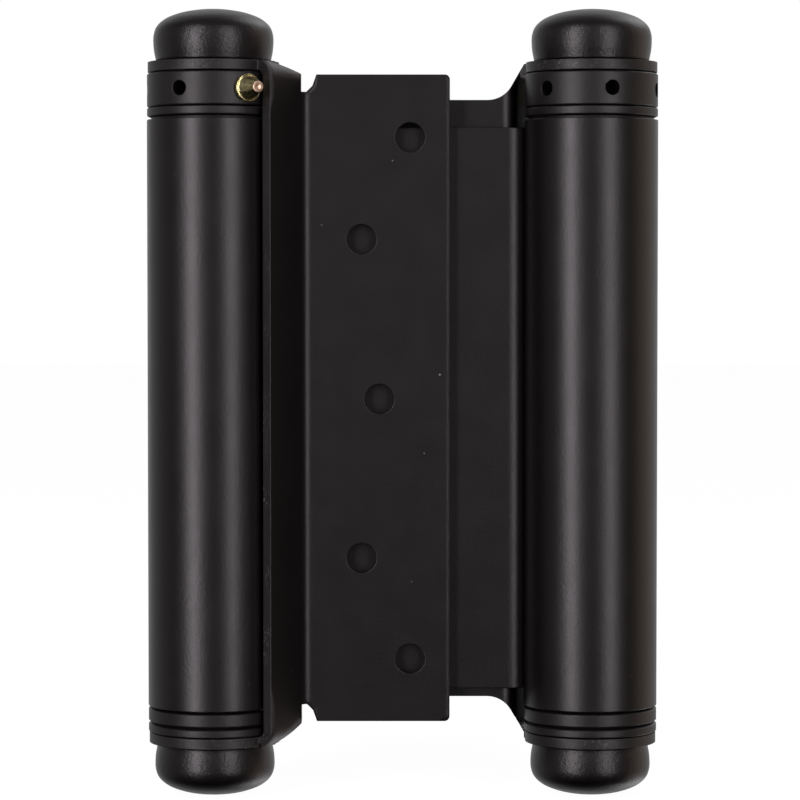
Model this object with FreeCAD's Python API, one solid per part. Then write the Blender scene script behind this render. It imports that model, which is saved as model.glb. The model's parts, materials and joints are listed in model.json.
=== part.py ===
import FreeCAD, Part
import math
import os

V = FreeCAD.Vector
UP = V(0, 0, 1)
ALONG_Y = V(0, 1, 0)
CLOSE = 1e-6

# Sheet steel and the two barrel axes
SHEET = 2.0
AXIS_SPACING = 74.3
BARREL_R = 13.1
WEB_FLAT_REACH = 16.5
SEAM_GAP = 0.25
WEB_TOP_DROP = 1.45
WEB_BOTTOM_RISE = 3.2

# Heights stacked between the inner faces of the lugs, from the top down
LUG_SPAN = 129.8
COLLAR_GAP = 0.2
COLLAR_H = 6.7
RUN_GAP = 0.1
BUSH_FLANGE_H = 2.25
PLUG_FLANGE_H = 3.2
WASHER_H = 1.95

# Fits
PRESS_FIT = 0.02
RUNNING_FIT = 0.05
LEAF_GAP = 0.4
CARRIER_GAP = 1.0
PIN_GAP = 0.35
LUG_INSET = 0.2
RING_INSET = 0.05

# Brackets: lugs, carrier wall and the bend into the leaf
LUG_BEND_R = 3.4
LUG_TAB_END = 3.5
LUG_SLOPE_START = 0.2
DOOR_CARRIER_LEAN = 40.0
JAMB_CARRIER_LEAN = 30.0
LEAF_BEND_R = 1.8
RING_MARGIN = 0.05

# Leaves
LEAF_H = 127.0
LEAF_RISE = 0.9
LEAF_CORNER_R = 1.0
DOOR_LEAF_START = 20.3
DOOR_LEAF_W = 26.1
NOTCH_W = 3.0
NOTCH_DEPTH = 3.4
NOTCH_FLOOR_W = 1.0
NOTCH_KNEE_W = 2.2
NOTCH_KNEE_H = 1.2
JAMB_LEAF_START = 28.2
JAMB_LEAF_W = 25.4
NECK_H = 118.0
NECK_RISE = 0.7
NECK_SWEEP_R = 5.4
NECK_SWEEP_TURN = 60.0
NECK_SWEEP_START = 20.4

# Screw holes, measured from the leaf's edge nearest the bend and from mid-height
HOLE_R = 2.95
HOLE_HEAD_R = 4.6
HOLE_LAND = 0.6
OUTER_HOLE_X = 18.3
OUTER_HOLE_Z = 51.2
INNER_HOLE_X = 8.8
INNER_HOLE_Z = 31.3
MID_HOLE_X = 12.3

# Pintle and domed tips
PINTLE_R = 4.0
PINTLE_IN_TIP = 6.5
TIP_H = 10.5
TIP_INSET = 1.05
TIP_BELT_H = 5.2
TIP_BASE_IN = 0.5
TIP_CROWN_IN = 1.95
TIP_CROWN_DROP = 1.8
TIP_SHOULDER_BULGE = 0.28
TIP_DOME_BULGE = 0.5
TIP_FLAT_R = 0.6

# Tension collar, the spring hub pressed into it, its pin holes and the pin
COLLAR_EDGE = 0.3
HUB_R = 8.0
HUB_H = 8.5
HUB_SPIGOT_R = 5.8
PIN_HOLE_R = 1.45
PIN_HOLE_COUNT = 6
PIN_HOLE_DROP = 3.35
PIN_HOLE_DEPTH = 6.5
LEFT_PIN_ANGLE = 32.6
RIGHT_PIN_ANGLE = 14.7
PIN_FLANGE_R = 2.7
PIN_FLANGE_T = 0.9
PIN_NECK_R = 2.3
PIN_TIP_R = 1.0
PIN_REACH = 4.5
PIN_SHANK = 5.5

# Barrel ends
END_CHAMFER = 0.45
WASHER_CHAMFER = 0.3
SPIGOT_H = 5.0
PLUG_SPIGOT_H = 6.0

# Torsion spring
SPRING_R = 6.0
SPRING_WIRE_R = 1.4
SPRING_PITCH = 6.4
SPRING_END_GAP = 2.4
SPRING_TANG = 3.2

# Places worked out from the sizes above
LEFT_AXIS = V(-AXIS_SPACING / 2, 0, 0)
RIGHT_AXIS = V(AXIS_SPACING / 2, 0, 0)
LUG_R = BARREL_R - LUG_INSET
COLLAR_R = BARREL_R - RING_INSET
END_RING_R = BARREL_R - RING_INSET
TIP_BELT_R = LUG_R - TIP_INSET
TIP_BASE_R = TIP_BELT_R - TIP_BASE_IN
TIP_CROWN_R = TIP_BELT_R - TIP_CROWN_IN
LUG_IN = LUG_SPAN / 2
LUG_OUT = LUG_IN + SHEET
COLLAR_TOP = LUG_IN - COLLAR_GAP
COLLAR_BOTTOM = COLLAR_TOP - COLLAR_H
BUSH_TOP = COLLAR_BOTTOM - RUN_GAP
BARREL_TOP = BUSH_TOP - BUSH_FLANGE_H
WASHER_TOP = -LUG_IN + WASHER_H
PLUG_BOTTOM = WASHER_TOP + RUN_GAP
BARREL_BOTTOM = PLUG_BOTTOM + PLUG_FLANGE_H
BARREL_BORE_R = BARREL_R - SHEET
PIN_Z = COLLAR_TOP - PIN_HOLE_DROP
HUB_BOTTOM = COLLAR_BOTTOM - HUB_H
PLUG_TOP = BARREL_BOTTOM + PLUG_SPIGOT_H
SPRING_BASE = PLUG_TOP + SPRING_END_GAP
SPRING_TOP = HUB_BOTTOM - SPRING_END_GAP

CARRIER_IN = BARREL_R + CARRIER_GAP
CARRIER_OUT = CARRIER_IN + SHEET
LEAF_BACK = -(SHEET / 2 + LEAF_GAP)
LEAF_FACE = LEAF_BACK - SHEET
LEAF_BOTTOM = LEAF_RISE - LEAF_H / 2
BEND_Y = LEAF_FACE - LEAF_BEND_R
ORIGIN = V(RIGHT_AXIS.x - JAMB_LEAF_START - OUTER_HOLE_X, -LEAF_FACE, LEAF_RISE)


def polar(centre, radius, degrees):
    """Point at an angle round a centre, in plan."""
    turn = math.radians(degrees)
    return centre + V(radius * math.cos(turn), radius * math.sin(turn), 0)


def arc(centre, radius, start, end):
    """Plan arc from one angle to another."""
    middle = (start + end) / 2
    points = [polar(centre, radius, a) for a in (start, middle, end)]
    return Part.Arc(*points).toShape()


def line(start, end):
    return Part.makeLine(start, end)


def prism(edges, base, height):
    """Solid over a closed plan outline, from a base height upwards."""
    face = Part.Face(Part.Wire(Part.__sortEdges__(edges)))
    face.translate(V(0, 0, base))
    return face.extrude(V(0, 0, height))


def polygon(points):
    return [line(a, b) for a, b in zip(points, points[1:] + points[:1])]


def tube(radius, bore, base, height):
    """Upright ring about the local axis."""
    solid = Part.makeCylinder(radius, height, V(0, 0, base))
    return solid.cut(Part.makeCylinder(bore, height, V(0, 0, base)))


def rim_edges(solid, radius, z):
    """Circular edges of one radius at one height."""
    rims = []
    for edge in solid.Edges:
        curve = edge.Curve
        if isinstance(curve, Part.Circle) and abs(curve.Radius - radius) < CLOSE:
            if abs(curve.Center.z - z) < CLOSE:
                rims.append(edge)
    return rims


def edges_at(solid, x, height):
    """Straight edges that lie across the sheet at one x, that height above or below the middle."""
    middles = [(e, e.CenterOfMass) for e in solid.Edges if isinstance(e.Curve, Part.Line)]
    return [e for e, p in middles if abs(p.x - x) < CLOSE and abs(abs(p.z) - height) < CLOSE]


def middle_sheet():
    """Both barrels rolled from the two ends of one sheet, bent in an S at each barrel."""
    half = SHEET / 2
    roll = BARREL_R - half
    bend = (WEB_FLAT_REACH ** 2 - roll ** 2) / (2 * roll)
    bend_left = LEFT_AXIS + V(WEB_FLAT_REACH, -bend, 0)
    bend_right = RIGHT_AXIS - V(WEB_FLAT_REACH, -bend, 0)
    swing = math.degrees(math.atan2(WEB_FLAT_REACH, bend))
    inner_turn, outer_turn = bend - half, bend + half
    joint = 270 + swing
    reach = roll + bend
    meet = math.acos((BARREL_R ** 2 + reach ** 2 - outer_turn ** 2) / (2 * BARREL_R * reach))
    seam = swing - 90 + math.degrees(meet + SEAM_GAP / BARREL_R)
    left = [
        arc(LEFT_AXIS, BARREL_R, seam, joint),
        arc(bend_left, inner_turn, 90 + swing, 90),
        arc(LEFT_AXIS, BARREL_BORE_R, seam, joint),
        arc(bend_left, outer_turn, 90 + swing, 90),
        line(polar(LEFT_AXIS, BARREL_R, seam), polar(LEFT_AXIS, BARREL_BORE_R, seam)),
    ]
    right = [e.copy() for e in left]
    for edge in right:
        edge.rotate(V(0, 0, 0), UP, 180)
    flats = [
        line(polar(bend_left, inner_turn, 90), polar(bend_right, outer_turn, -90)),
        line(polar(bend_left, outer_turn, 90), polar(bend_right, inner_turn, -90)),
    ]
    sheet = prism(left + right + flats, BARREL_BOTTOM, BARREL_TOP - BARREL_BOTTOM)
    width = AXIS_SPACING - 2 * BARREL_R
    trims = []
    for base, height in ((BARREL_TOP - WEB_TOP_DROP, WEB_TOP_DROP), (BARREL_BOTTOM, WEB_BOTTOM_RISE)):
        trims.append(Part.makeBox(width, 2 * BARREL_R, height, V(-width / 2, -BARREL_R, base)))
    return sheet.cut(trims)


class Carrier:
    """Carrier wall of a bracket: a flat that leans past the barrel, from a free edge to the leaf's bend."""

    def __init__(self, lean, pin_angle):
        turn = math.radians(lean)
        self.lean = lean
        self.across = V(math.cos(turn), -math.sin(turn), 0)
        self.along = V(math.sin(turn), math.cos(turn), 0)
        bend_x = (CARRIER_OUT + LEAF_BEND_R + BEND_Y * math.sin(turn)) / math.cos(turn)
        self.bend = V(bend_x, BEND_Y, 0)
        self.end = self.bend.dot(self.along)
        swing = math.radians(90 - lean - pin_angle)
        self.edge = (PIN_FLANGE_R + PIN_GAP - CARRIER_IN * math.sin(swing)) / math.cos(swing)

    def turned(self, solid):
        """Turn a solid from across-and-along the carrier into plan."""
        solid.rotate(V(0, 0, 0), UP, -self.lean)
        return solid


def lug_channel(carrier):
    """Carrier wall with both lugs bent over, as one channel along the carrier."""
    length = carrier.end - carrier.edge
    outer = Part.makeBox(CARRIER_OUT, length, 2 * LUG_OUT, V(0, carrier.edge, -LUG_OUT))
    outer = outer.makeFillet(LUG_BEND_R, edges_at(outer, CARRIER_OUT, LUG_OUT))
    inner = Part.makeBox(2 * CARRIER_IN, length, 2 * LUG_IN, V(-CARRIER_IN, carrier.edge, -LUG_IN))
    inner = inner.makeFillet(LUG_BEND_R - SHEET, edges_at(inner, CARRIER_IN, LUG_IN))
    beyond = Part.makeBox(CARRIER_IN, length, 2 * LUG_OUT, V(0, LUG_TAB_END, -LUG_OUT))
    return carrier.turned(outer.cut(inner).cut(beyond))


def leaf_sheet(carrier, leaf_end):
    """Leaf, bend and carrier as one bent strip of the leaf's height."""
    bend = carrier.bend
    turned = 180 - carrier.lean
    reach = LEAF_BEND_R + SHEET
    face_start = carrier.across * CARRIER_OUT + carrier.along * carrier.edge
    back_start = carrier.across * CARRIER_IN + carrier.along * carrier.edge
    outline = [
        line(V(leaf_end, LEAF_FACE, 0), polar(bend, LEAF_BEND_R, 90)),
        arc(bend, LEAF_BEND_R, 90, turned),
        line(polar(bend, LEAF_BEND_R, turned), face_start),
        line(face_start, back_start),
        line(back_start, polar(bend, reach, turned)),
        arc(bend, reach, turned, 90),
        line(polar(bend, reach, 90), V(leaf_end, LEAF_BACK, 0)),
        line(V(leaf_end, LEAF_BACK, 0), V(leaf_end, LEAF_FACE, 0)),
    ]
    sheet = prism(outline, LEAF_BOTTOM, LEAF_H)
    sheet.translate(V(0, 0, -LEAF_RISE))
    sheet = sheet.makeFillet(LEAF_CORNER_R, edges_at(sheet, leaf_end, LEAF_H / 2))
    sheet.translate(V(0, 0, LEAF_RISE))
    return sheet


def screw_holes(leaf_start):
    """Screw holes of one leaf, sunk for their heads on the side that faces the middle sheet."""
    places = [(MID_HOLE_X, 0)]
    for side in (1, -1):
        places += [(OUTER_HOLE_X, side * OUTER_HOLE_Z), (INNER_HOLE_X, side * INNER_HOLE_Z)]
    sink = SHEET - HOLE_LAND
    cutters = []
    for x, z in places:
        at = V(leaf_start + x, LEAF_FACE, LEAF_RISE + z)
        cutters.append(Part.makeCylinder(HOLE_R, SHEET, at, ALONG_Y))
        cutters.append(Part.makeCone(HOLE_R, HOLE_HEAD_R, sink, at + V(0, HOLE_LAND, 0), ALONG_Y))
    return cutters


def door_cuts(carrier):
    """Sloped ends of the door bracket's lug bends and its two relief notches at the leaf."""
    cuts = []
    far = 2 * LUG_OUT
    inside = LUG_R + RING_MARGIN
    for side in (1, -1):
        level = LEAF_RISE + side * LEAF_H / 2
        slope = Part.Face(Part.Wire(polygon([
            V(inside, LUG_SLOPE_START, side * LUG_OUT),
            V(inside, carrier.end, level),
            V(inside, 2 * carrier.end, level),
            V(inside, 2 * carrier.end, side * far),
            V(inside, LUG_SLOPE_START, side * far),
        ])))
        cuts.append(carrier.turned(slope.extrude(V(CARRIER_OUT, 0, 0))))
        floor = level - side * NOTCH_DEPTH
        knee = floor + side * NOTCH_KNEE_H
        left = DOOR_LEAF_START - NOTCH_W
        notch = Part.Face(Part.Wire(polygon([
            V(left, 2 * LEAF_FACE, floor),
            V(left + NOTCH_FLOOR_W, 2 * LEAF_FACE, floor),
            V(left + NOTCH_KNEE_W, 2 * LEAF_FACE, knee),
            V(DOOR_LEAF_START, 2 * LEAF_FACE, level),
            V(DOOR_LEAF_START, 2 * LEAF_FACE, side * far),
            V(left, 2 * LEAF_FACE, side * far),
        ])))
        cuts.append(notch.extrude(V(0, -3 * LEAF_FACE, 0)))
    return cuts


def on_sweep(side, degrees):
    """Point of the jamb shoulder's sweep, at an angle up from the top or the bottom of its neck."""
    turn = math.radians(degrees)
    rise = NECK_SWEEP_R * (1 - math.cos(turn))
    neck = NECK_RISE + side * NECK_H / 2
    return V(NECK_SWEEP_START - NECK_SWEEP_R * math.sin(turn), 0, neck + side * rise)


def jamb_cuts(carrier):
    """Wide shoulders of the jamb bracket: a straight neck that sweeps up to each lug."""
    far = 2 * LUG_OUT
    keep = carrier.turned(Part.makeBox(far, 2 * far, 2 * far, V(LUG_R + RING_MARGIN, -far, -far)))
    slant = math.tan(math.radians(NECK_SWEEP_TURN))
    cuts = []
    for side in (1, -1):
        end = side * far
        foot, middle, top = [on_sweep(side, NECK_SWEEP_TURN * share) for share in (0, 0.5, 1)]
        head = V(top.x - (LUG_OUT - abs(top.z)) / slant, 0, side * LUG_OUT)
        edges = [
            Part.Arc(foot, middle, top).toShape(),
            line(top, head),
            line(head, V(head.x, 0, end)),
            line(V(head.x, 0, end), V(JAMB_LEAF_START, 0, end)),
            line(V(JAMB_LEAF_START, 0, end), V(JAMB_LEAF_START, 0, foot.z)),
            line(V(JAMB_LEAF_START, 0, foot.z), foot),
        ]
        face = Part.Face(Part.Wire(Part.__sortEdges__(edges)))
        face.translate(V(0, -2 * BARREL_R, 0))
        cuts.append(face.extrude(V(0, 4 * BARREL_R, 0)).common(keep))
    return cuts


def bracket(carrier, leaf_start, leaf_width, cuts):
    """One bracket about its own pintle: leaf, bend, carrier and two lugs from one sheet."""
    solid = leaf_sheet(carrier, leaf_start + leaf_width).fuse(lug_channel(carrier))
    for base in (LUG_IN, -LUG_OUT):
        solid = solid.fuse(Part.makeCylinder(LUG_R, SHEET, V(0, 0, base)))
    bore = Part.makeCylinder(PINTLE_R + PRESS_FIT, 2 * LUG_OUT, V(0, 0, -LUG_OUT))
    return solid.cut(cuts + screw_holes(leaf_start) + [bore]).removeSplitter()


def pintle():
    """Plain steel rod that both tips are screwed to."""
    reach = LUG_OUT + PINTLE_IN_TIP
    return Part.makeCylinder(PINTLE_R, 2 * reach, V(0, 0, -reach))


def bulged(start, end, bulge):
    """Arc between two profile points, bowed outwards by a share of half its chord."""
    chord = end - start
    out = V(chord.z, 0, -chord.x)
    return Part.Arc(start, (start + end) * 0.5 + out * (bulge / 2), end).toShape()


def tip(side):
    """Domed tip outside a lug, bored for the pintle's end."""
    belt = V(TIP_BELT_R, 0, TIP_BELT_H)
    crown = V(TIP_CROWN_R, 0, TIP_H - TIP_CROWN_DROP)
    top = V(TIP_FLAT_R, 0, TIP_H)
    dome = TIP_DOME_BULGE * TIP_CROWN_DROP / TIP_CROWN_R
    profile = [
        line(V(0, 0, 0), V(TIP_BASE_R, 0, 0)),
        line(V(TIP_BASE_R, 0, 0), belt),
        bulged(belt, crown, TIP_SHOULDER_BULGE),
        bulged(crown, top, dome),
        line(top, V(0, 0, TIP_H)),
        line(V(0, 0, TIP_H), V(0, 0, 0)),
    ]
    solid = Part.Face(Part.Wire(profile)).revolve(V(0, 0, 0), UP, 360)
    solid = solid.cut(Part.makeCylinder(PINTLE_R + PRESS_FIT, PINTLE_IN_TIP))
    if side < 0:
        solid.rotate(V(0, 0, 0), V(1, 0, 0), 180)
    solid.translate(V(0, 0, side * LUG_OUT))
    return solid


def pin_direction(angle):
    """Outward direction at an angle from the front, turning towards the leaf."""
    turn = math.radians(angle)
    return V(math.sin(turn), -math.cos(turn), 0)


def spring_end(base):
    """Point of the spring's centre line at a height, on its first or last turn."""
    turn = 360 * (base - SPRING_BASE) / SPRING_PITCH
    return polar(V(0, 0, base), SPRING_R, turn)


def tang_hole(base):
    """Hole for a spring tang, from a height upwards."""
    at = spring_end(max(SPRING_BASE, min(SPRING_TOP, base)))
    return Part.makeCylinder(SPRING_WIRE_R + RUNNING_FIT, SPRING_TANG, V(at.x, at.y, base))


def collar(pin_angle):
    """Tension collar: a ring of pin holes, bored for the spring hub."""
    solid = tube(COLLAR_R, HUB_SPIGOT_R + PRESS_FIT, COLLAR_BOTTOM, COLLAR_H)
    rims = rim_edges(solid, COLLAR_R, COLLAR_TOP) + rim_edges(solid, COLLAR_R, COLLAR_BOTTOM)
    solid = solid.makeChamfer(COLLAR_EDGE, rims)
    for i in range(PIN_HOLE_COUNT):
        out = pin_direction(pin_angle + i * 360 / PIN_HOLE_COUNT)
        start = out * (COLLAR_R - PIN_HOLE_DEPTH) + V(0, 0, PIN_Z)
        solid = solid.cut(Part.makeCylinder(PIN_HOLE_R, 2 * PIN_HOLE_DEPTH, start, out))
    return solid


def spring_hub():
    """Hub under the collar: it enters the barrel, turns in the bush and takes the spring's tang."""
    bore = PINTLE_R + RUNNING_FIT
    hub = tube(HUB_R, bore, HUB_BOTTOM, HUB_H).fuse(tube(HUB_SPIGOT_R, bore, COLLAR_BOTTOM, COLLAR_H))
    return hub.cut(tang_hole(HUB_BOTTOM))


def tension_pin(pin_angle):
    """Turned pin: shank in the collar, flange on it and a taper that stands out."""
    radii = [PIN_HOLE_R - PRESS_FIT, PIN_FLANGE_R, PIN_NECK_R, PIN_TIP_R]
    flange = COLLAR_R
    neck = flange + PIN_FLANGE_T
    end = COLLAR_R + PIN_REACH
    shank = COLLAR_R - PIN_SHANK
    profile = polygon([
        V(0, 0, shank), V(radii[0], 0, shank), V(radii[0], 0, flange), V(radii[1], 0, flange),
        V(radii[1], 0, neck), V(radii[2], 0, neck), V(radii[3], 0, end), V(0, 0, end),
    ])
    solid = Part.Face(Part.Wire(profile)).revolve(V(0, 0, 0), UP, 360)
    solid.Placement = FreeCAD.Placement(V(0, 0, PIN_Z), FreeCAD.Rotation(UP, pin_direction(pin_angle)))
    return solid


def barrel_bush():
    """Bush in the barrel's mouth, flanged under the collar and running on the spring hub."""
    bore = HUB_R + RUNNING_FIT
    flange = tube(END_RING_R, bore, BARREL_TOP, BUSH_FLANGE_H)
    flange = flange.makeChamfer(END_CHAMFER, rim_edges(flange, END_RING_R, BARREL_TOP))
    return flange.fuse(tube(BARREL_BORE_R - PRESS_FIT, bore, BARREL_TOP - SPIGOT_H, SPIGOT_H))


def barrel_plug():
    """Plug in the barrel's lower end: flange, spigot, bearing on the pintle and spring hole."""
    bore = PINTLE_R + RUNNING_FIT
    flange = tube(END_RING_R, bore, PLUG_BOTTOM, PLUG_FLANGE_H)
    rims = rim_edges(flange, END_RING_R, BARREL_BOTTOM) + rim_edges(flange, END_RING_R, PLUG_BOTTOM)
    flange = flange.makeChamfer(WASHER_CHAMFER, rims)
    plug = flange.fuse(tube(BARREL_BORE_R - PRESS_FIT, bore, BARREL_BOTTOM, PLUG_SPIGOT_H))
    return plug.cut(tang_hole(PLUG_TOP - SPRING_TANG))


def lower_washer():
    """Bearing washer between the barrel's plug and the lower lug."""
    washer = tube(END_RING_R, PINTLE_R + PRESS_FIT, -LUG_IN, WASHER_H)
    rims = rim_edges(washer, END_RING_R, -LUG_IN) + rim_edges(washer, END_RING_R, WASHER_TOP)
    return washer.makeChamfer(WASHER_CHAMFER, rims)


def spring():
    """Torsion spring inside the barrel, with straight tangs into the plug and the collar's hub."""
    helix = Part.makeHelix(SPRING_PITCH, SPRING_TOP - SPRING_BASE, SPRING_R)
    along = V(0, 2 * math.pi * SPRING_R, SPRING_PITCH)
    section = Part.Wire(Part.makeCircle(SPRING_WIRE_R, V(SPRING_R, 0, 0), along))
    coil = Part.Wire(helix).makePipeShell([section], True, True)
    coil.translate(V(0, 0, SPRING_BASE))
    length = SPRING_END_GAP + SPRING_TANG
    lower = Part.makeCylinder(SPRING_WIRE_R, length, spring_end(SPRING_BASE), UP * -1)
    upper = Part.makeCylinder(SPRING_WIRE_R, length, spring_end(SPRING_TOP), UP)
    return coil.fuse([lower, upper])


def side_parts(name, pin_angle, body):
    """Everything that belongs to one barrel, about that barrel's own axis."""
    return {
        name + "_bracket": body,
        name + "_pintle": pintle(),
        name + "_top_tip": tip(1),
        name + "_bottom_tip": tip(-1),
        name + "_tension_collar": collar(pin_angle),
        name + "_spring_hub": spring_hub(),
        name + "_tension_pin": tension_pin(pin_angle),
        name + "_barrel_bush": barrel_bush(),
        name + "_barrel_plug": barrel_plug(),
        name + "_lower_washer": lower_washer(),
        name + "_torsion_spring": spring(),
    }


def build():
    """All pieces in the hinge's own frame, the leaves closed on the middle sheet."""
    door_carrier = Carrier(DOOR_CARRIER_LEAN, LEFT_PIN_ANGLE)
    jamb_carrier = Carrier(JAMB_CARRIER_LEAN, RIGHT_PIN_ANGLE)
    door = bracket(door_carrier, DOOR_LEAF_START, DOOR_LEAF_W, door_cuts(door_carrier))
    jamb = bracket(jamb_carrier, JAMB_LEAF_START, JAMB_LEAF_W, jamb_cuts(jamb_carrier))
    parts = {"middle_sheet": middle_sheet()}
    for name, solid in side_parts("door", LEFT_PIN_ANGLE, door).items():
        solid.translate(LEFT_AXIS)
        parts[name] = solid
    for name, solid in side_parts("jamb", RIGHT_PIN_ANGLE, jamb).items():
        solid.rotate(V(0, 0, 0), UP, 180)
        solid.translate(RIGHT_AXIS)
        parts[name] = solid
    for solid in parts.values():
        solid.translate(ORIGIN * -1)
    return parts


os.makedirs("parts", exist_ok=True)
for node, shape in build().items():
    shape.exportStep("parts/" + node + ".step")
    box = shape.BoundBox
    print(node, len(shape.Solids), shape.isValid(), round(shape.Volume, 1),
          [round(v, 2) for v in (box.XMin, box.XMax, box.YMin, box.YMax, box.ZMin, box.ZMax)])
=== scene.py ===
"""Looks of a double action cafe hinge.

Two sprung barrels, rolled from one sheet of steel, stand between a door bracket and a jamb bracket. The steel
is sprayed in satin dark bronze paint, the turned tips and rings with it, and the tension pins are gold plated.
"""

import json
import logging
import math
from dataclasses import dataclass
from enum import Enum
from typing import NamedTuple, Optional, Sequence, Union

import bmesh
import bpy
from mathutils import Matrix, Vector
from mathutils.bvhtree import BVHTree

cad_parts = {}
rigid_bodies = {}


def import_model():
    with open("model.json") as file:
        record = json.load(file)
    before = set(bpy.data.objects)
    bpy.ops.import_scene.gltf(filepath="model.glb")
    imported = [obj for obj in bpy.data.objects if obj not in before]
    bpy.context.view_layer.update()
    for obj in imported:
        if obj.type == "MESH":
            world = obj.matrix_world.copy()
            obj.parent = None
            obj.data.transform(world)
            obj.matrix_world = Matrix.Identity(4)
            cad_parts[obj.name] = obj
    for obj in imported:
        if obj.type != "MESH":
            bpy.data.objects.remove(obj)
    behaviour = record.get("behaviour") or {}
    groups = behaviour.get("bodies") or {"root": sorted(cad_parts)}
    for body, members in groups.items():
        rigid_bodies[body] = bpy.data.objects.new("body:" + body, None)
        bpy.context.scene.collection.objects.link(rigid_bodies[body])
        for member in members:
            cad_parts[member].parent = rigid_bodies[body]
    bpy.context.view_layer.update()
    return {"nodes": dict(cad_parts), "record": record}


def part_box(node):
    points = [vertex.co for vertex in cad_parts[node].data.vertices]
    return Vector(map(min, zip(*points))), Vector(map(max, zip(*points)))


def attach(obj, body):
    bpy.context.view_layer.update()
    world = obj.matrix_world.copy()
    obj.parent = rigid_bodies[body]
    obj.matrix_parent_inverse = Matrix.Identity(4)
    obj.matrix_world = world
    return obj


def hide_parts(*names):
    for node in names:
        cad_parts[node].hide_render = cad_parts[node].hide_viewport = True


for leftover in list(bpy.data.objects):
    bpy.data.objects.remove(leftover)
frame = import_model()

LOG = logging.getLogger("cafe_hinge")
MM = 0.001
WELD = 0.002 * MM
RECORD = frame["record"]
BODY_OF: dict[str, str] = {n: b for b, nodes in RECORD["behaviour"]["bodies"].items() for n in nodes}

Colour = tuple[float, float, float]
Triple = tuple[float, float, float]
Span = tuple[float, float]

EDGE_SAMPLES = 6
SENSOR_MM = 36.0
RIM_NEAR = 0.02 * MM
TIP_DOME: tuple[Span, ...] = (
    (11.38, 0.8), (11.68, 2.4), (11.8, 4.2), (11.7, 5.5), (11.25, 6.8), (10.3, 7.9), (8.8, 8.85), (6.4, 9.7),
    (3.8, 10.2), (1.6, 10.43),
)


class Side(Enum):
    """The two barrels of the hinge, by what their bracket is screwed to."""

    DOOR = "door"
    JAMB = "jamb"

    def node(self, piece: str) -> str:
        """Name of one of this side's CAD nodes."""
        return f"{self.value}_{piece}"

    @property
    def turn(self) -> float:
        """Angle that this side's pieces are turned by in plan, in radians."""
        return 0.0 if self is Side.DOOR else math.pi


PIN_ANGLES: dict[Side, float] = {Side.DOOR: 32.6, Side.JAMB: 14.7}
PLUG_RIMS: tuple[Span, Span] = ((0.8, 0.6), (0.5, 0.4))
WASHER_RIMS: tuple[Span, Span] = ((0.5, 0.35), (0.45, 0.35))


class Film(Enum):
    """Paint films for sheet steel, by what they lie on."""

    SHEET = "sheet"
    BRACKET = "bracket"


class Corner(NamedTuple):
    """One corner of a turned profile, in millimetres.

    Attributes:
        r: Distance from the axis.
        z: Height.
        radius: Rounding of the corner.
    """

    r: float
    z: float
    radius: float = 0.0


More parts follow.
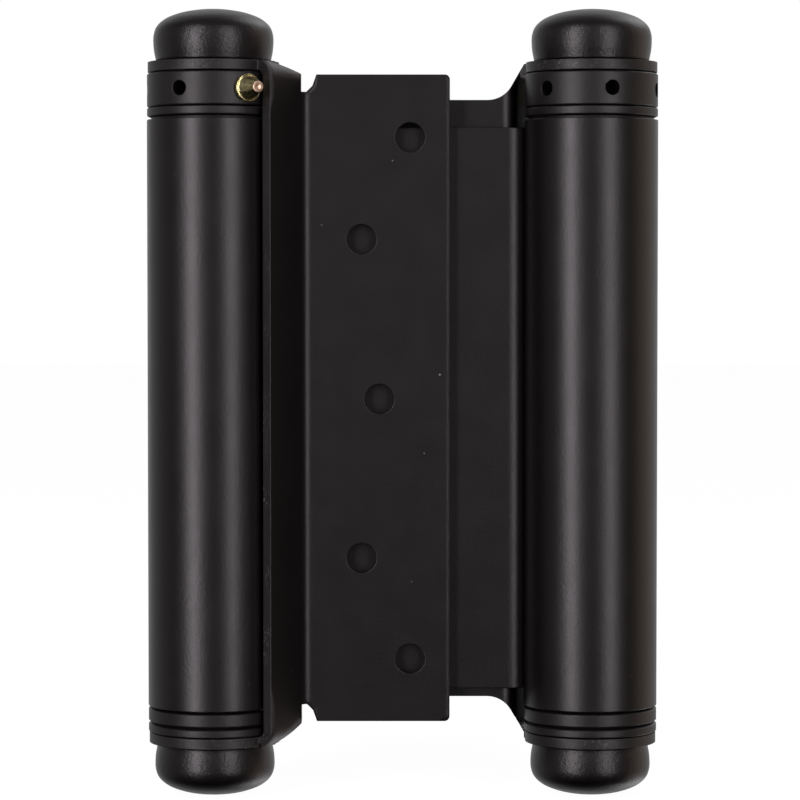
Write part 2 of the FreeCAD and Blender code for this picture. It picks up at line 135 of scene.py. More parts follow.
class NodeGraph:
    """Node tree of a material or of the world, with short calls that add and link nodes."""

    def __init__(self, owner: Union[bpy.types.Material, bpy.types.World]) -> None:
        """Start an empty tree.

        Args:
            owner: Material or world that the tree belongs to.
        """
        owner.use_nodes = True
        self.owner = owner
        self.tree = owner.node_tree
        self.tree.nodes.clear()
        self.output = self.add("OutputWorld" if isinstance(owner, bpy.types.World) else "OutputMaterial")

    @classmethod
    def material(cls, name: str) -> "NodeGraph":
        """Tree of a new material of some name."""
        return cls(bpy.data.materials.new(name))

    def math(self, operation: str, first: object, second: object) -> bpy.types.NodeSocket:
        """Result of one sum, product or other step with two values or sockets."""
        return self.add("Math", {0: first, 1: second}, operation=operation).outputs[0]

    def close(self, shader: bpy.types.NodeSocket) -> None:
        """Link a shader to the tree's output."""
        self.tree.links.new(shader, self.output.inputs["Surface"])

    def add(self, kind: str, inputs: Optional[dict] = None, **settings: object) -> bpy.types.Node:
        """Add a node.

        Args:
            kind: Shader node type, without its common prefix.
            inputs: Values or sockets for named or numbered inputs.
            **settings: Properties of the node.

        Returns:
            The new node.
        """
        node = self.tree.nodes.new("ShaderNode" + kind)
        for key, value in settings.items():
            setattr(node, key, value)
        for key, value in (inputs or {}).items():
            if isinstance(value, bpy.types.NodeSocket):
                self.tree.links.new(value, node.inputs[key])
            else:
                node.inputs[key].default_value = value
        return node

    def place(self) -> bpy.types.NodeSocket:
        """Object coordinates, in metres of the row frame."""
        return self.add("TexCoord").outputs["Object"]

    def noise(self, scale: float, detail: float = 2.0, stretch: Triple = (1, 1, 1)) -> bpy.types.NodeSocket:
        """Noise over the object.

        Args:
            scale: Spots in a metre.
            detail: Octaves of finer noise.
            stretch: Scale along each axis.

        Returns:
            The noise value.
        """
        where = self.add("Mapping", {"Vector": self.place(), "Scale": stretch}).outputs["Vector"]
        return self.add("TexNoise", {"Vector": where, "Scale": scale, "Detail": detail}).outputs["Fac"]

    def spread(self, value: bpy.types.NodeSocket, low: float, high: float, to_low: float,
               to_high: float) -> bpy.types.NodeSocket:
        """Map one range of values smoothly to another.

        Args:
            value: Socket to map.
            low: Start of the range that is read.
            high: End of the range that is read.
            to_low: Result at the start.
            to_high: Result at the end.

        Returns:
            The mapped value.
        """
        inputs = {"Value": value, "From Min": low, "From Max": high, "To Min": to_low, "To Max": to_high}
        return self.add("MapRange", inputs, interpolation_type="SMOOTHSTEP").outputs["Result"]

    def mix(self, share: Union[float, bpy.types.NodeSocket], first: object,
            second: object) -> bpy.types.NodeSocket:
        """Mix two colours.

        Args:
            share: Share of the second colour.
            first: Colour or socket.
            second: Colour or socket.

        Returns:
            The mixed colour.
        """
        node = self.add("Mix", data_type="RGBA")
        for socket, value in ((node.inputs[0], share), (node.inputs[6], first), (node.inputs[7], second)):
            if isinstance(value, bpy.types.NodeSocket):
                self.tree.links.new(value, socket)
            elif isinstance(value, tuple):
                socket.default_value = (*value, 1.0)
            else:
                socket.default_value = value
        return node.outputs[2]

    def soft_edge(self, radius: Union[float, bpy.types.NodeSocket]) -> bpy.types.NodeSocket:
        """Normal that rounds every hard edge.

        Args:
            radius: Radius of the rounding, in metres, or a socket with it.

        Returns:
            The rounded normal.
        """
        return self.add("Bevel", {"Radius": radius}, samples=EDGE_SAMPLES).outputs["Normal"]

    def bump(self, height: bpy.types.NodeSocket, depth: float,
             under: Optional[bpy.types.NodeSocket] = None) -> bpy.types.NodeSocket:
        """Raise the surface by a height map.

        Args:
            height: Height from 0 to 1.
            depth: Rise at 1, in metres.
            under: Normal of a bump below this one.

        Returns:
            The bumped normal.
        """
        inputs = {"Height": height, "Distance": depth, "Strength": 1.0}
        if under:
            inputs["Normal"] = under
        return self.add("Bump", inputs).outputs["Normal"]

    def finish(self, **sockets: object) -> bpy.types.Material:
        """Close the tree with a surface shader.

        Args:
            **sockets: Values or sockets of the shader's inputs, with underscores for spaces.

        Returns:
            The material.
        """
        shader = self.add("BsdfPrincipled", {k.replace("_", " "): v for k, v in sockets.items()})
        self.close(shader.outputs[0])
        return self.owner


@dataclass(frozen=True)
class PaintFinish:
    """Satin sprayed paint over steel. Its noise scales are spots in a metre.

    Attributes:
        name: Name of the material.
        colour: Colour of the paint.
        worn: Colour where the film is thin.
        sheen: Tint of its reflections.
        scuff: Colour of grains that are rubbed through on a sheared edge.
        dust: Colour of dust in the film.
        specks: Rarity of that dust.
        roughness: Middle roughness of the film.
        peel: Depth of the sprayed texture, in metres.
        grain: Depth of the fine grain in the film, in metres.
        grit: Depth of the coarse texture that a sheared edge shows through the paint, in metres.
        edge_r: Rounding of hard edges in the shading, in metres.
        cloud_scale: Noise scale of the patches where the film is thin.
        cloud_stretch: Scale of those patches along each axis.
        dust_scales: Scales of the coarse and the fine dust.
        fine_rarity: How much rarer the fine dust is.
        satin_scale: Noise scale of the roughness.
        satin_swing: How far the roughness strays from its middle.
        peel_scale: Noise scale of the sprayed texture.
        grain_scale: Noise scale of the fine grain.
        grit_scale: Noise scale of a sheared edge's texture.
    """

    name: str
    colour: Colour = (0.0011, 0.0003, 0.0006)
    worn: Colour = (0.0020, 0.0010, 0.0014)
    sheen: Colour = (1.0, 0.93, 0.98)
    scuff: Colour = (0.10, 0.095, 0.09)
    dust: Colour = (0.22, 0.21, 0.20)
    specks: float = 0.66
    roughness: float = 0.37
    peel: float = 0.02 * MM
    grain: float = 0.014 * MM
    grit: float = 0.0
    edge_r: float = 0.28 * MM
    cloud_scale: float = 55.0
    cloud_stretch: Triple = (1.0, 1.0, 0.35)
    dust_scales: Span = (170.0, 420.0)
    fine_rarity: float = 0.04
    satin_scale: float = 140.0
    satin_swing: float = 0.012
    peel_scale: float = 1500.0
    grain_scale: float = 3600.0
    grit_scale: float = 900.0

    def material(self) -> bpy.types.Material:
        """Build the paint's node tree."""
        g = NodeGraph.material(self.name)
        cloud = g.noise(self.cloud_scale, 3.0, self.cloud_stretch)
        tone = g.mix(g.spread(cloud, 0.35, 0.75, 0.0, 0.6), self.colour, self.worn)
        for scale, rarity in zip(self.dust_scales, (self.specks, self.specks + self.fine_rarity)):
            tone = g.mix(self._specks(g, scale, rarity), tone, self.dust)
        smooth, rough = self.roughness - self.satin_swing, self.roughness + self.satin_swing
        satin = g.spread(g.noise(self.satin_scale, 4.0), 0.3, 0.7, smooth, rough)
        normal = g.bump(g.noise(self.peel_scale), self.peel, g.soft_edge(self._edge_radius(g)))
        normal = g.bump(g.noise(self.grain_scale), self.grain, normal)
        if self.grit:
            normal = g.bump(g.noise(self.grit_scale, 5.0), self.grit, normal)
            tone = g.mix(self._scuffs(g), tone, self.scuff)
        return g.finish(Base_Color=tone, Roughness=satin, Normal=normal, IOR=1.5,
                        Specular_Tint=(*self.sheen, 1.0))

    def _edge_radius(self, g: NodeGraph) -> Union[float, bpy.types.NodeSocket]:
        """Rounding of hard edges at each spot."""
        return self.edge_r

    @staticmethod
    def _specks(g: NodeGraph, scale: float, rarity: float) -> bpy.types.NodeSocket:
        """Sparse pale dust caught in the film."""
        cells = g.add("TexVoronoi", {"Vector": g.place(), "Scale": scale})
        spot = g.spread(cells.outputs["Distance"], 0.02, 0.035, 1.0, 0.0)
        chosen = g.spread(cells.outputs["Color"], rarity, rarity + 0.04, 0.0, 1.0)
        return g.math("MULTIPLY", spot, chosen)

    @staticmethod
    def _scuffs(g: NodeGraph) -> bpy.types.NodeSocket:
        """Grains rubbed through in patches."""
        grains = g.spread(g.noise(2200.0, 4.0), 0.56, 0.68, 0.0, 1.0)
        patches = g.spread(g.noise(130.0, 2.0), 0.45, 0.62, 0.05, 0.55)
        return g.math("MULTIPLY", grains, patches)


@dataclass(frozen=True)
class BracketPaint(PaintFinish):
    """The same paint over a bracket, shaded with wide roundings at its sloped ends, bend and free edge.

    Attributes:
        end_r: Rounding of the sloped ends, in metres.
        end_z: Heights between which that rounding starts, in metres.
        bend_r: Rounding of the bend into the leaf, in metres.
        bend_x: Places across the hinge between which the bend lies, in metres.
        fade: Width over which the bend's rounding fades, in metres.
        lip_r: Rounding of the leaf's long free edge, in metres.
        lip_x: Places across the hinge between which that rounding starts, in metres.
    """

    end_r: float = 2.4 * MM
    end_z: Span = (55.0 * MM, 60.0 * MM)
    bend_r: float = 1.5 * MM
    bend_x: Span = (-11.0 * MM, -6.8 * MM)
    fade: float = 0.8 * MM
    lip_r: float = 1.1 * MM
    lip_x: Span = (16.2 * MM, 17.2 * MM)

    def _edge_radius(self, g: NodeGraph) -> bpy.types.NodeSocket:
        """Rounding that is wide at the carrier's ends and in its bend."""
        spot = g.add("SeparateXYZ", {0: g.place()})
        across, high = spot.outputs["X"], g.math("ABSOLUTE", spot.outputs["Z"], 0.0)
        low, far = self.bend_x
        end = g.math("MULTIPLY", g.spread(high, *self.end_z, 0.0, self.end_r),
                     g.spread(across, low, low + self.fade, 1.0, 0.0))
        bend = g.math("MULTIPLY", g.spread(across, low - self.fade, low, 0.0, self.bend_r),
                      g.spread(across, far - self.fade, far, 1.0, 0.0))
        lip = g.spread(across, *self.lip_x, self.edge_r, self.lip_r)
        return g.math("MAXIMUM", g.math("MAXIMUM", end, bend), lip)


@dataclass(frozen=True)
class PlatedFinish:
    """Bright plated steel with turning marks.

    Attributes:
        name: Name of the material.
        colour: Colour of the plating.
        tarnish: Colour of its duller patches.
        roughness: Middle roughness.
        scratch: Depth of the turning marks, in metres.
        edge_r: Rounding of hard edges, in metres.
    """

    name: str
    colour: Colour
    tarnish: Colour
    roughness: float = 0.2
    scratch: float = 0.003 * MM
    edge_r: float = 0.12 * MM

    def material(self) -> bpy.types.Material:
        """Build the plating's node tree."""
        g = NodeGraph.material(self.name)
        tone = g.mix(g.spread(g.noise(900.0, 3.0), 0.35, 0.7, 0.0, 0.8), self.colour, self.tarnish)
        gloss = g.spread(g.noise(2200.0, 2.0), 0.3, 0.7, self.roughness - 0.06, self.roughness + 0.08)
        marks = g.bump(g.noise(5000.0, 2.0, (1.0, 1.0, 0.2)), self.scratch, g.soft_edge(self.edge_r))
        return g.finish(Base_Color=tone, Roughness=gloss, Normal=marks, Metallic=1.0)


class Paintshop:
    """All the finishes of the hinge, made once."""

    def __init__(self) -> None:
        """Make every material."""
        paint = PaintFinish("dark_bronze_paint_film").material()
        bracket_paint = BracketPaint("dark_bronze_paint_on_bracket").material()
        self.films = {Film.SHEET: paint, Film.BRACKET: bracket_paint}
        self.tip_paint = PaintFinish("dark_bronze_paint_on_tips", peel=0.05 * MM, grain=0.03 * MM).material()
        self.ring_paint = PaintFinish("dark_bronze_paint_on_rings", roughness=0.45, peel=0.03 * MM,
                                      specks=0.60).material()
        self.edge_paint = PaintFinish("dark_bronze_paint_on_edge", worn=(0.014, 0.012, 0.012), roughness=0.46,
                                      grit=0.025 * MM).material()
        self.gold = PlatedFinish("gold_plating", (0.92, 0.76, 0.42), (0.66, 0.60, 0.27), 0.22).material()
        self.copper = PlatedFinish("bare_pin_end", (0.95, 0.66, 0.50), (0.85, 0.54, 0.40), 0.34).material()
        self.steel = PlatedFinish("turned_steel", (0.56, 0.56, 0.57), (0.42, 0.42, 0.43), 0.3).material()
        self.wire = PlatedFinish("drawn_spring_wire", (0.26, 0.26, 0.27), (0.17, 0.17, 0.18), 0.36).material()


def stand_in(piece: bpy.types.Object, node: str) -> bpy.types.Object:
    """Let a piece stand for one CAD node.

    Args:
        piece: Piece, in place in the row frame.
        node: Node that it replaces, whose body it takes.

    Returns:
        The same piece.
    """
    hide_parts(node)
    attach(piece, BODY_OF[node])
    LOG.info("%s: %d faces on %s", piece.name, len(piece.data.polygons), BODY_OF[node])
    return piece


def piece_from(bm: bmesh.types.BMesh, name: str, materials: Sequence[bpy.types.Material],
               sharp: float = 40.0) -> bpy.types.Object:
    """Turn a built mesh into a smooth-shaded object.

    Args:
        bm: The mesh, in metres, which is freed.
        name: Name of the object.
        materials: Its material slots.
        sharp: Angle from which an edge is shaded sharp, in degrees.

    Returns:
        The object, in the scene.
    """
    mesh = bpy.data.meshes.new(name)
    bm.to_mesh(mesh)
    bm.free()
    mesh.shade_smooth()
    mesh.set_sharp_from_angle(angle=math.radians(sharp))
    for material in materials:
        mesh.materials.append(material)
    piece = bpy.data.objects.new(name, mesh)
    bpy.context.scene.collection.objects.link(piece)
    return piece


def settle(piece: bpy.types.Object) -> None:
    """Apply a piece's modifiers to its mesh.

    Args:
        piece: Object whose modifiers are applied.
    """
    graph = bpy.context.evaluated_depsgraph_get()
    shaped = bpy.data.meshes.new_from_object(piece.evaluated_get(graph))
    piece.modifiers.clear()
    piece.data = shaped


def rounded(corners: Sequence[Corner], steps: int = 6) -> list[tuple[float, float]]:
    """Points of a turned profile with its corners rounded.

    Args:
        corners: Corners in order.
        steps: Points on each rounding.

    Returns:
        Radius and height of each point, in millimetres.
    """
    points: list[tuple[float, float]] = []
    count = len(corners)
    for i, corner in enumerate(corners):
        here = Vector((corner.r, corner.z))
        if not corner.radius:
            points.append(tuple(here))
            continue
        before = Vector(corners[i - 1][:2]) - here
        after = Vector(corners[(i + 1) % count][:2]) - here
        half = before.angle(after) / 2
        reach = min(corner.radius / math.tan(half), 0.49 * before.length, 0.49 * after.length)
        start = here + before.normalized() * reach
        end = here + after.normalized() * reach
        for k in range(steps + 1):
            t = k / steps
            points.append(tuple(start * (1 - t) ** 2 + here * (2 * t * (1 - t)) + end * t ** 2))
    return points


def flowing(points: Sequence[tuple[float, float]], steps: int = 5) -> list[Corner]:
    """Corners of a smooth curve through some points.

    Args:
        points: Radius and height of each point, in millimetres.
        steps: Corners for each stretch between two points.

    Returns:
        The curve's corners, the last point included.
    """
    spots = [Vector(p) for p in points]
    spots = [2 * spots[0] - spots[1]] + spots + [2 * spots[-1] - spots[-2]]
    curve = []
    for a, b, c, d in zip(spots, spots[1:], spots[2:], spots[3:]):
        for k in range(steps):
            s = k / steps
            bend = (2 * a - 5 * b + 4 * c - d) * s ** 2
            twist = (3 * b - a - 3 * c + d) * s ** 3
            at = 0.5 * (2 * b + (c - a) * s + bend + twist)
            curve.append(Corner(at.x, at.y))
    return curve + [Corner(*points[-1])]


def lathe(corners: Sequence[Corner], segments: int = 96, ring: bool = False) -> bmesh.types.BMesh:
    """Turn a profile about the upright axis.

    Args:
        corners: Profile corners from the axis round to the axis again, or a closed ring section.
        segments: Facets round the axis.
        ring: True for a closed section that keeps off the axis.

    Returns:
        The turned mesh, in metres, about the origin.
    """
    bm = bmesh.new()
    rows = []
    for r, z in rounded(corners):
        if r < WELD / MM:
            rows.append([bm.verts.new((0.0, 0.0, z * MM))])
            continue
        turns = (2 * math.pi * k / segments for k in range(segments))
        rows.append([bm.verts.new((r * MM * math.cos(a), r * MM * math.sin(a), z * MM)) for a in turns])
    pairs = list(zip(rows, rows[1:])) + ([(rows[-1], rows[0])] if ring else [])
    for low, high in pairs:
        for k in range(segments):
            n = (k + 1) % segments
            quad = [low[k % len(low)], low[n % len(low)], high[n % len(high)], high[k % len(high)]]
            corner_set = list(dict.fromkeys(quad))
            if len(corner_set) > 2:
                bm.faces.new(corner_set)
    bmesh.ops.remove_doubles(bm, verts=bm.verts, dist=WELD)
    bmesh.ops.recalc_face_normals(bm, faces=bm.faces)
    return bm


@dataclass
class SheetWork:
    """Pressed and rolled sheet steel, taken from the frame.

    Attributes:
        node: CAD node that holds the form.
        name: Name of the piece.
        film: Paint of its faces.
        edge_r: Most that its edges are rounded by, in millimetres. Short edges in a bend hold all of them back.
        steps: Facets on each rounding.
        sheet: Thickness of the steel, in millimetres.
        corner: Least angle of an edge that is rounded, in degrees.
        flat: Angle up to which neighbouring faces are joined, in degrees.
        sharp: Angle from which an edge is shaded sharp, in degrees.
        probe: Depth to which a face's back is looked for, in thicknesses of the steel.
    """

    node: str
    name: str
    film: Film = Film.SHEET
    edge_r: float = 0.28
    steps: int = 3
    sheet: float = 2.0
    corner: float = 35.0
    flat: float = 0.2
    sharp: float = 30.0
    probe: float = 1.5

    def build(self, shop: Paintshop) -> bpy.types.Object:
        """Build the piece and paint it.

        Args:
            shop: Finishes of the hinge.

        Returns:
            The piece, standing for its node.
        """
        bm = bmesh.new()
        bm.from_mesh(frame["nodes"][self.node].data)
        bmesh.ops.remove_doubles(bm, verts=bm.verts, dist=WELD)
        bmesh.ops.dissolve_limit(bm, angle_limit=math.radians(self.flat), verts=bm.verts, edges=bm.edges)
        limit = math.radians(self.corner)
        hard = [e for e in bm.edges if e.is_manifold and e.calc_face_angle(0.0) > limit]
        bmesh.ops.bevel(bm, geom=hard, offset=self.edge_r * MM, offset_type="OFFSET", segments=self.steps,
                        profile=0.5, affect="EDGES", clamp_overlap=True)
        bmesh.ops.triangulate(bm, faces=bm.faces)
        self._mark_edges(bm)
        piece = piece_from(bm, self.name, [shop.films[self.film], shop.edge_paint], self.sharp)
        normals = piece.modifiers.new("flat faces", "WEIGHTED_NORMAL")
        normals.keep_sharp = True
        settle(piece)
        return stand_in(piece, self.node)

    def _mark_edges(self, bm: bmesh.types.BMesh) -> None:
        """Give faces that lie across the sheet's thickness the paint of a sheared edge."""
        tree = BVHTree.FromBMesh(bm)
        thick = self.probe * self.sheet * MM
        for face in bm.faces:
            inside = face.calc_center_median() - face.normal * WELD
            hit = tree.ray_cast(inside, -face.normal, thick)
            face.material_index = 0 if hit[0] else 1


@dataclass
class TensionPin:
    """Turned pin in a tension collar: shank, flange and a taper with a dimpled end.

    Attributes:
        side: Barrel that it belongs to.
        angle: Its angle from the front of the barrel towards the leaf, in degrees.
        seat_r: Distance of the flange's seat from the barrel's axis, in millimetres.
        shank: Length and radius of the shank, in millimetres.
        flange: Thickness and radius of the flange, in millimetres.
        neck_r: Radius of the taper at the flange, in millimetres.
        reach: Distance of the tip from the seat, in millimetres.
        tip_r: Radius of the tip, in millimetres.
        dimple: Depth and radius of the dimple in the tip, in millimetres.
    """

    side: Side
    angle: float
    seat_r: float = 13.05
    shank: Span = (5.5, 1.43)
    flange: Span = (0.9, 2.7)
    neck_r: float = 2.3
    reach: float = 4.46
    tip_r: float = 1.08
    dimple: Span = (0.25, 0.55)

    def build(self, shop: Paintshop) -> bpy.types.Object:
        """Turn the pin, stand it in its collar and plate it.

        Args:
            shop: Finishes of the hinge.

        Returns:
            The piece, standing for its node.
        """
        node = self.side.node("tension_pin")
        thick, rim = self.flange
        length, shank_r = self.shank
        deep, hollow = self.dimple
        bm = lathe([
            Corner(0.0, -length), Corner(shank_r, -length, 0.25), Corner(shank_r, 0.0), Corner(rim, 0.0, 0.2),
            Corner(rim, thick, 0.3), Corner(self.neck_r, thick, 0.25), Corner(self.tip_r, self.reach, 0.15),
            Corner(hollow, self.reach, 0.1), Corner(0.0, self.reach - deep),
        ], 72)
        low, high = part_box(node)
        axis_low, axis_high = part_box(self.side.node("pintle"))
        axis = (axis_low + axis_high) / 2
        turn = math.radians(self.angle) + self.side.turn
        out = Vector((math.sin(turn), -math.cos(turn), 0.0))
        seat = Vector((axis.x, axis.y, (low.z + high.z) / 2)) + out * self.seat_r * MM
        for face in bm.faces:
            if face.calc_center_median().z > (self.reach - deep) * MM:
                face.material_index = 1
        bm.transform(Matrix.Translation(seat) @ out.to_track_quat("Z", "X").to_matrix().to_4x4())
        return stand_in(piece_from(bm, f"{self.side.value}_turned_pin", [shop.gold, shop.copper], 50.0), node)


@dataclass
class DomedTip:
    """Turned tip outside a lug, bored for the pintle's end.

    Attributes:
        side: Barrel that it belongs to.
        upper: True for the tip over the upper lug.
        bore: Radius and depth of the bore, in millimetres.
        foot_r: Radius of its foot, in millimetres.
        foot_edge: Rounding of the foot's edge, in millimetres.
        foot_round: Rounding where that edge meets the side, in millimetres.
        height: Height of the tip, in millimetres.
    """

    side: Side
    upper: bool
    bore: Span = (4.02, 6.5)
    foot_r: float = 11.3
    foot_edge: float = 0.35
    foot_round: float = 0.2
    height: float = 10.5

    def build(self, shop: Paintshop) -> bpy.types.Object:
        """Turn the tip, set it on its lug and paint it.

        Args:
            shop: Finishes of the hinge.

        Returns:
            The piece, standing for its node.
        """
        bore_r, bore_h = self.bore
        bm = lathe([
            Corner(0.0, bore_h), Corner(bore_r, bore_h), Corner(bore_r, 0.0),
            Corner(self.foot_r - self.foot_edge, 0.0), Corner(self.foot_r, self.foot_edge, self.foot_round),
            *flowing([*TIP_DOME, (0.0, self.height)]),
        ], 128)
        node = self.side.node("top_tip" if self.upper else "bottom_tip")
        low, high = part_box(node)
        middle = (low + high) / 2
        foot = Matrix.Translation((middle.x, middle.y, low.z if self.upper else high.z))
        flip = Matrix.Identity(4) if self.upper else Matrix.Rotation(math.pi, 4, "X")
        bm.transform(foot @ flip)
        name = f"{self.side.value}_{'upper' if self.upper else 'lower'}_tip"
        return stand_in(piece_from(bm, name, [shop.tip_paint], 50.0), node)


@dataclass
class BarrelRing:
    """Bush in a barrel's mouth, with a bead that shows between the collar and the barrel.

    Attributes:
        side: Barrel that it belongs to.
        bead_r: Radius of the bead, in millimetres.
        bead_h: Height of the bead, in millimetres.
        groove: Depth and height of the groove under the bead, in millimetres.
        spigot_r: Radius of the spigot in the barrel, in millimetres.
        bore_r: Radius of the bore, in millimetres.
    """

    side: Side
    bead_r: float = 13.05
    bead_h: float = 2.25
    groove: Span = (0.8, 0.7)
    spigot_r: float = 11.08
    bore_r: float = 8.05

    def build(self, shop: Paintshop) -> bpy.types.Object:
        """Turn the bush, set it in its barrel and paint it.

        Args:
            shop: Finishes of the hinge.

        Returns:
            The piece, standing for its node.
        """
        node = self.side.node("barrel_bush")
        low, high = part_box(node)
        tall = (high.z - low.z) / MM
        seat = tall - self.bead_h
        deep, gap = self.groove
        bm = lathe([
            Corner(self.bore_r, 0.0), Corner(self.spigot_r, 0.0), Corner(self.spigot_r, seat),
            Corner(self.bead_r - deep, seat), Corner(self.bead_r - deep, seat + 0.5 * gap),
            Corner(self.bead_r, seat + gap, 0.3), Corner(self.bead_r, tall, 0.25), Corner(self.bore_r, tall),
        ], 128, True)
        middle = (low + high) / 2
        bm.transform(Matrix.Translation((middle.x, middle.y, low.z)))
        return stand_in(piece_from(bm, f"{self.side.value}_beaded_bush", [shop.ring_paint], 50.0), node)


@dataclass
class GroovedRing:
    """Ring of the frame whose rims are turned down further, so that a dark groove shows at each joint.

    Attributes:
        side: Barrel that it belongs to.
        part: Node that holds the form, without its side.
        name: Name of the piece, without its side.
        top: Depth and height of the upper rim's chamfer, in millimetres.
        foot: Depth and height of the lower rim's chamfer, in millimetres.
        chamfer: Chamfer of both rims in the frame, in millimetres.
    """

    side: Side
    part: str
    name: str
    top: Span
    foot: Span
    chamfer: float = 0.3

    def build(self, shop: Paintshop) -> bpy.types.Object:
        """Turn down the rims and paint the ring.

        Args:
            shop: Finishes of the hinge.

        Returns:
            The piece, standing for its node.
        """
        node = self.side.node(self.part)
        axis_low, axis_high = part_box(self.side.node("pintle"))
        axis = ((axis_low + axis_high) / 2).to_2d()
        bm = bmesh.new()
        bm.from_mesh(frame["nodes"][node].data)
        bmesh.ops.remove_doubles(bm, verts=bm.verts, dist=WELD)
        arms = {v: v.co.to_2d() - axis for v in bm.verts}
        rim_r = max(arm.length for arm in arms.values())
        rims = [v for v, arm in arms.items() if arm.length > rim_r - self.chamfer * MM - RIM_NEAR]
        low, high = min(v.co.z for v in rims), max(v.co.z for v in rims)
        for v in rims:
            upper = v.co.z > (low + high) / 2
            deep, tall = self.top if upper else self.foot
            if arms[v].length > rim_r - RIM_NEAR:
                v.co.z = high - tall * MM if upper else low + tall * MM
            else:
                v.co.xy = axis + arms[v].normalized() * (rim_r - deep * MM)
        return stand_in(piece_from(bm, f"{self.side.value}_{self.name}", [shop.ring_paint], 30.0), node)


@dataclass
class TurnedSet:
    """Collar, pintle, hub and spring of one barrel, which keep their CAD form.

    Attributes:
        side: Barrel that they belong to.
    """

    side: Side

    def dress(self, shop: Paintshop) -> None:
        """Give every node its finish.

        Args:
            shop: Finishes of the hinge.
        """
        finish = {"tension_collar": shop.ring_paint, "pintle": shop.steel, "spring_hub": shop.steel,
                  "torsion_spring": shop.wire}
        for piece, material in finish.items():
            slots = frame["nodes"][self.side.node(piece)].data.materials
            slots.clear()
            slots.append(material)
        LOG.info("%s side: %d turned nodes dressed", self.side.value, len(finish))


@dataclass(frozen=True)
class Room:
    """White surroundings, as the paint reflects them and as they fill the shade.

    A span holds the parts of a direction, to the right, back or up, between which something comes or goes.

    Attributes:
        fill: Brightness as it falls on rough surfaces.
        front_glow: Brightness in reflections, in front and at the sides.
        low_glow: Brightness low down.
        low_span: Up, from the low part to the front.
        front_span: To either side, where the front fades.
        front_rest: Share of the front that is left at the sides.
        back_glow: Brightness of the white behind the hinge.
        back_span: Back, where that white comes.
        left_glow: Brightness of the left wall.
        left_depth: Back, where the left wall comes.
        left_span: To the right, where the left wall goes.
        wall_glow: Brightness of the right wall.
        wall_colour: Colour of the right wall.
        wall_depth: Back, where the right wall comes.
        wall_span: To the right, where the right wall comes.
        sweep_glow: Brightness of the white sweep over and under the hinge, behind its right.
        sweep_span: To the right, where the sweep comes.
        sweep_rise: Up or down, where the sweep comes.
        sweep_depth: Back, where the sweep comes.
    """

    fill: float = 0.12
    front_glow: float = 0.17
    low_glow: float = 0.0
    low_span: Span = (-0.22, 0.0)
    front_span: Span = (0.45, 0.85)
    front_rest: float = 0.25
    back_glow: float = 0.58
    back_span: Span = (0.1, 0.95)
    left_glow: float = 0.26
    left_depth: Span = (-0.35, -0.05)
    left_span: Span = (-0.95, -0.75)
    wall_glow: float = 0.58
    wall_colour: Colour = (1.0, 0.82, 0.66)
    wall_depth: Span = (-0.35, 0.0)
    wall_span: Span = (0.7, 0.92)
    sweep_glow: float = 1.8
    sweep_span: Span = (0.15, 0.5)
    sweep_rise: Span = (0.3, 0.6)
    sweep_depth: Span = (0.1, 0.4)

    def build(self) -> None:
        """Make the world: white to the camera, soft grey in reflections and as fill."""
        world = bpy.data.worlds.new("white_surroundings")
        bpy.context.scene.world = world
        g = NodeGraph(world)
        path = g.add("LightPath")
        glossy = path.outputs["Is Glossy Ray"]
        where = g.add("SeparateXYZ", {0: g.add("TexCoord").outputs["Generated"]})
        right, back, up = (where.outputs[k] for k in "XYZ")
        seen = g.math("MAXIMUM", path.outputs["Is Camera Ray"], path.outputs["Is Transmission Ray"])
        unseen = g.add("Mix", {0: glossy, 2: self.fill, 3: self._white_glow(g, right, back, up)}).outputs[0]
        level = g.add("Mix", {0: seen, 2: unseen, 3: 1.0}).outputs[0]
        white = g.add("Background", {"Color": (1.0, 1.0, 1.0, 1.0), "Strength": level}).outputs[0]
        wall = g.math("MULTIPLY", g.spread(back, *self.wall_depth, 0.0, 1.0),
                      g.spread(right, *self.wall_span, 0.0, self.wall_glow))
        dim = g.math("MULTIPLY", wall, glossy)
        warm = g.add("Background", {"Color": (*self.wall_colour, 1.0), "Strength": dim}).outputs[0]
        g.close(g.add("AddShader", {0: white, 1: warm}).outputs[0])

    def _white_glow(self, g: NodeGraph, right: bpy.types.NodeSocket, back: bpy.types.NodeSocket,
                    up: bpy.types.NodeSocket) -> bpy.types.NodeSocket:
        """Brightness of the white room in reflections.

        Args:
            g: Tree of the world.
            right: Part of the direction to the right.
            back: Part of the direction to the back.
            up: Part of the direction upwards.

        Returns:
            The brightness in that direction.
        """
        aside, steep = g.math("ABSOLUTE", right, 0.0), g.math("ABSOLUTE", up, 0.0)
        front = g.math("MULTIPLY", g.spread(up, *self.low_span, self.low_glow, self.front_glow),
                       g.spread(aside, *self.front_span, 1.0, self.front_rest))
        left = g.math("MULTIPLY", g.spread(back, *self.left_depth, 0.0, 1.0),
                      g.spread(right, *self.left_span, self.left_glow, 0.0))
        behind = g.spread(back, *self.back_span, 0.0, self.back_glow)
        sweep = g.math("MULTIPLY", g.spread(right, *self.sweep_span, 0.0, self.sweep_glow),
                       g.spread(steep, *self.sweep_rise, 0.0, 1.0))
        sweep = g.math("MULTIPLY", sweep, g.spread(back, *self.sweep_depth, 0.0, 1.0))
        return g.math("ADD", g.math("ADD", g.math("ADD", front, left), behind), sweep)


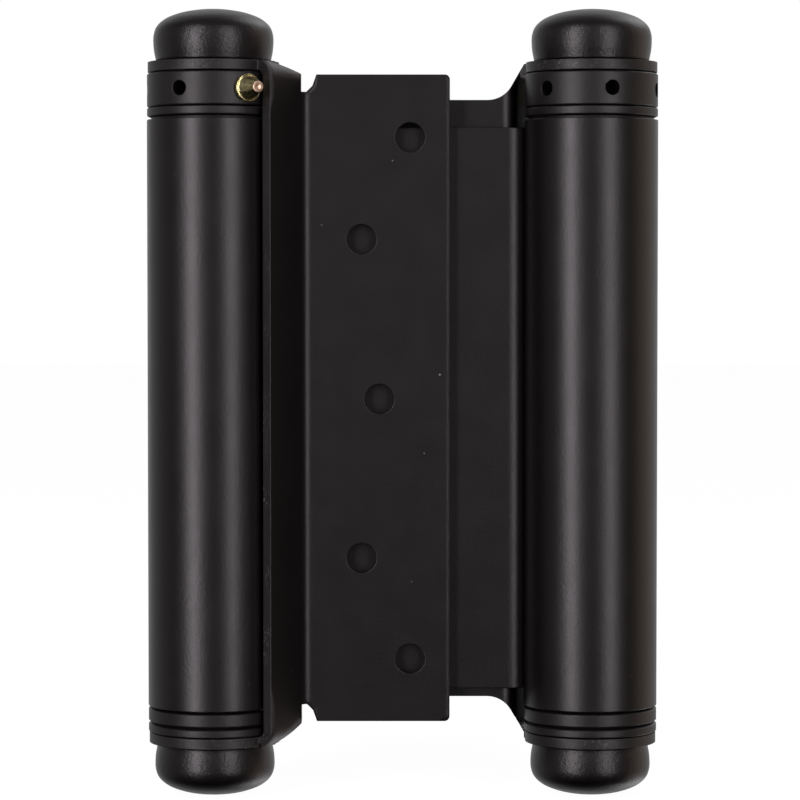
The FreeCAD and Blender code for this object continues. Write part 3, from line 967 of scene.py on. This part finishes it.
@dataclass(frozen=True)
class Floor:
    """Pale floor under the tips that keeps a soft shadow.

    Attributes:
        width: Width of the floor, in metres.
        colour: Colour of the floor.
        glow: Brightness of the white that the camera sees on it.
        glow_share: Share of that white, so that the rest shows the shadow.
    """

    width: float = 6.0
    colour: Colour = (0.82, 0.82, 0.82)
    glow: float = 1.13
    glow_share: float = 0.86

    def build(self) -> None:
        """Lay the floor."""
        bm = bmesh.new()
        bmesh.ops.create_grid(bm, x_segments=1, y_segments=1, size=self.width / 2)
        floor = piece_from(bm, "floor", [self._paint()])
        low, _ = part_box("door_bottom_tip")
        floor.location = Vector((0.0, 0.0, low.z))
        floor.visible_glossy = False
        floor.visible_shadow = False

    def _paint(self) -> bpy.types.Material:
        """Pale paint that reads white to the camera outside the shadow."""
        g = NodeGraph.material("pale_floor")
        pale = g.add("BsdfDiffuse", {"Color": (*self.colour, 1.0)}).outputs[0]
        white = g.add("Emission", {"Color": (1.0, 1.0, 1.0, 1.0), "Strength": self.glow}).outputs[0]
        path = g.add("LightPath")
        seen = g.math("MAXIMUM", path.outputs["Is Camera Ray"], path.outputs["Is Transmission Ray"])
        share = g.math("MULTIPLY", seen, self.glow_share)
        g.close(g.add("MixShader", {0: share, 1: pale, 2: white}).outputs[0])
        return g.owner


@dataclass
class Studio:
    """Floor, surroundings, two strip lights and the camera.

    Attributes:
        lens_px: Focal length, in pixels of the photograph's frame.
        frame_px: Width of the photograph's frame, in pixels.
        camera_at: Camera's place from the hinge's middle, in millimetres.
        pitch: How far the camera looks down, in degrees.
        yaw: How far it looks to the right, in degrees.
        strip_turns: Angle of each strip light from the front, in degrees.
        strip_powers: Power of each strip, in watts.
        strip_reach: Distance of the strip lights, in metres.
        strip_rise: Height of their middle over the hinge's, in metres.
        strip_size: Width and height of a strip, in metres.
        room: White surroundings.
        floor: Pale floor.
    """

    lens_px: float = 3155.0
    frame_px: float = 800.0
    camera_at: Triple = (-1.5, -622.1, 25.1)
    pitch: float = 2.257
    yaw: float = 0.092
    strip_turns: Span = (-36.0, 32.0)
    strip_powers: Span = (8.7, 5.6)
    strip_reach: float = 1.0
    strip_rise: float = 0.3
    strip_size: Span = (0.24, 1.3)
    room: Room = Room()
    floor: Floor = Floor()

    def centre(self) -> Vector:
        """Middle of the hinge: between the barrels' axes and between the lugs."""
        low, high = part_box("middle_sheet")
        lug_low, lug_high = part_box("door_bracket")
        middle = (low + high) / 2
        return Vector((middle.x, middle.y, (lug_low.z + lug_high.z) / 2))

    def build(self) -> None:
        """Set up the floor, the light and the camera."""
        self.room.build()
        self.floor.build()
        for turn, power in zip(self.strip_turns, self.strip_powers):
            self._strip(turn, power)
        self._camera()
        bpy.context.scene.view_settings.view_transform = "Standard"

    def _camera(self) -> None:
        """Stand the camera where the photograph was taken from."""
        data = bpy.data.cameras.new("camera")
        data.sensor_width = SENSOR_MM
        data.lens = self.lens_px / self.frame_px * data.sensor_width
        camera = bpy.data.objects.new("camera", data)
        camera.location = self.centre() + Vector(self.camera_at) * MM
        camera.rotation_euler = (math.radians(90 - self.pitch), 0.0, math.radians(-self.yaw))
        bpy.context.scene.collection.objects.link(camera)
        bpy.context.scene.camera = camera

    def _strip(self, turn: float, power: float) -> None:
        """Hang one upright strip light.

        Args:
            turn: Its angle from the front, in degrees.
            power: Its power, in watts.
        """
        data = bpy.data.lights.new("strip", "AREA")
        data.shape = "RECTANGLE"
        data.size, data.size_y = self.strip_size
        data.energy = power
        light = bpy.data.objects.new("strip", data)
        angle = math.radians(turn)
        out = Vector((math.sin(angle), -math.cos(angle), 0.0))
        light.location = self.centre() + out * self.strip_reach + Vector((0.0, 0.0, self.strip_rise))
        light.rotation_euler = out.to_track_quat("Z", "Y").to_euler()
        light.visible_camera = False
        bpy.context.scene.collection.objects.link(light)


def main() -> None:
    """Build every sub-assembly of the hinge, then the studio."""
    logging.basicConfig(level=logging.INFO, format="%(name)s %(message)s")
    shop = Paintshop()
    SheetWork("middle_sheet", "rolled_middle_sheet").build(shop)
    SheetWork("door_bracket", "pressed_door_bracket", Film.BRACKET).build(shop)
    SheetWork("jamb_bracket", "pressed_jamb_bracket").build(shop)
    for side, angle in PIN_ANGLES.items():
        TensionPin(side, angle).build(shop)
        DomedTip(side, True).build(shop)
        DomedTip(side, False).build(shop)
        BarrelRing(side).build(shop)
        GroovedRing(side, "barrel_plug", "grooved_plug", *PLUG_RIMS).build(shop)
        GroovedRing(side, "lower_washer", "thrust_washer", *WASHER_RIMS).build(shop)
        TurnedSet(side).dress(shop)
    Studio().build()


if __name__ == "__main__":
    main()
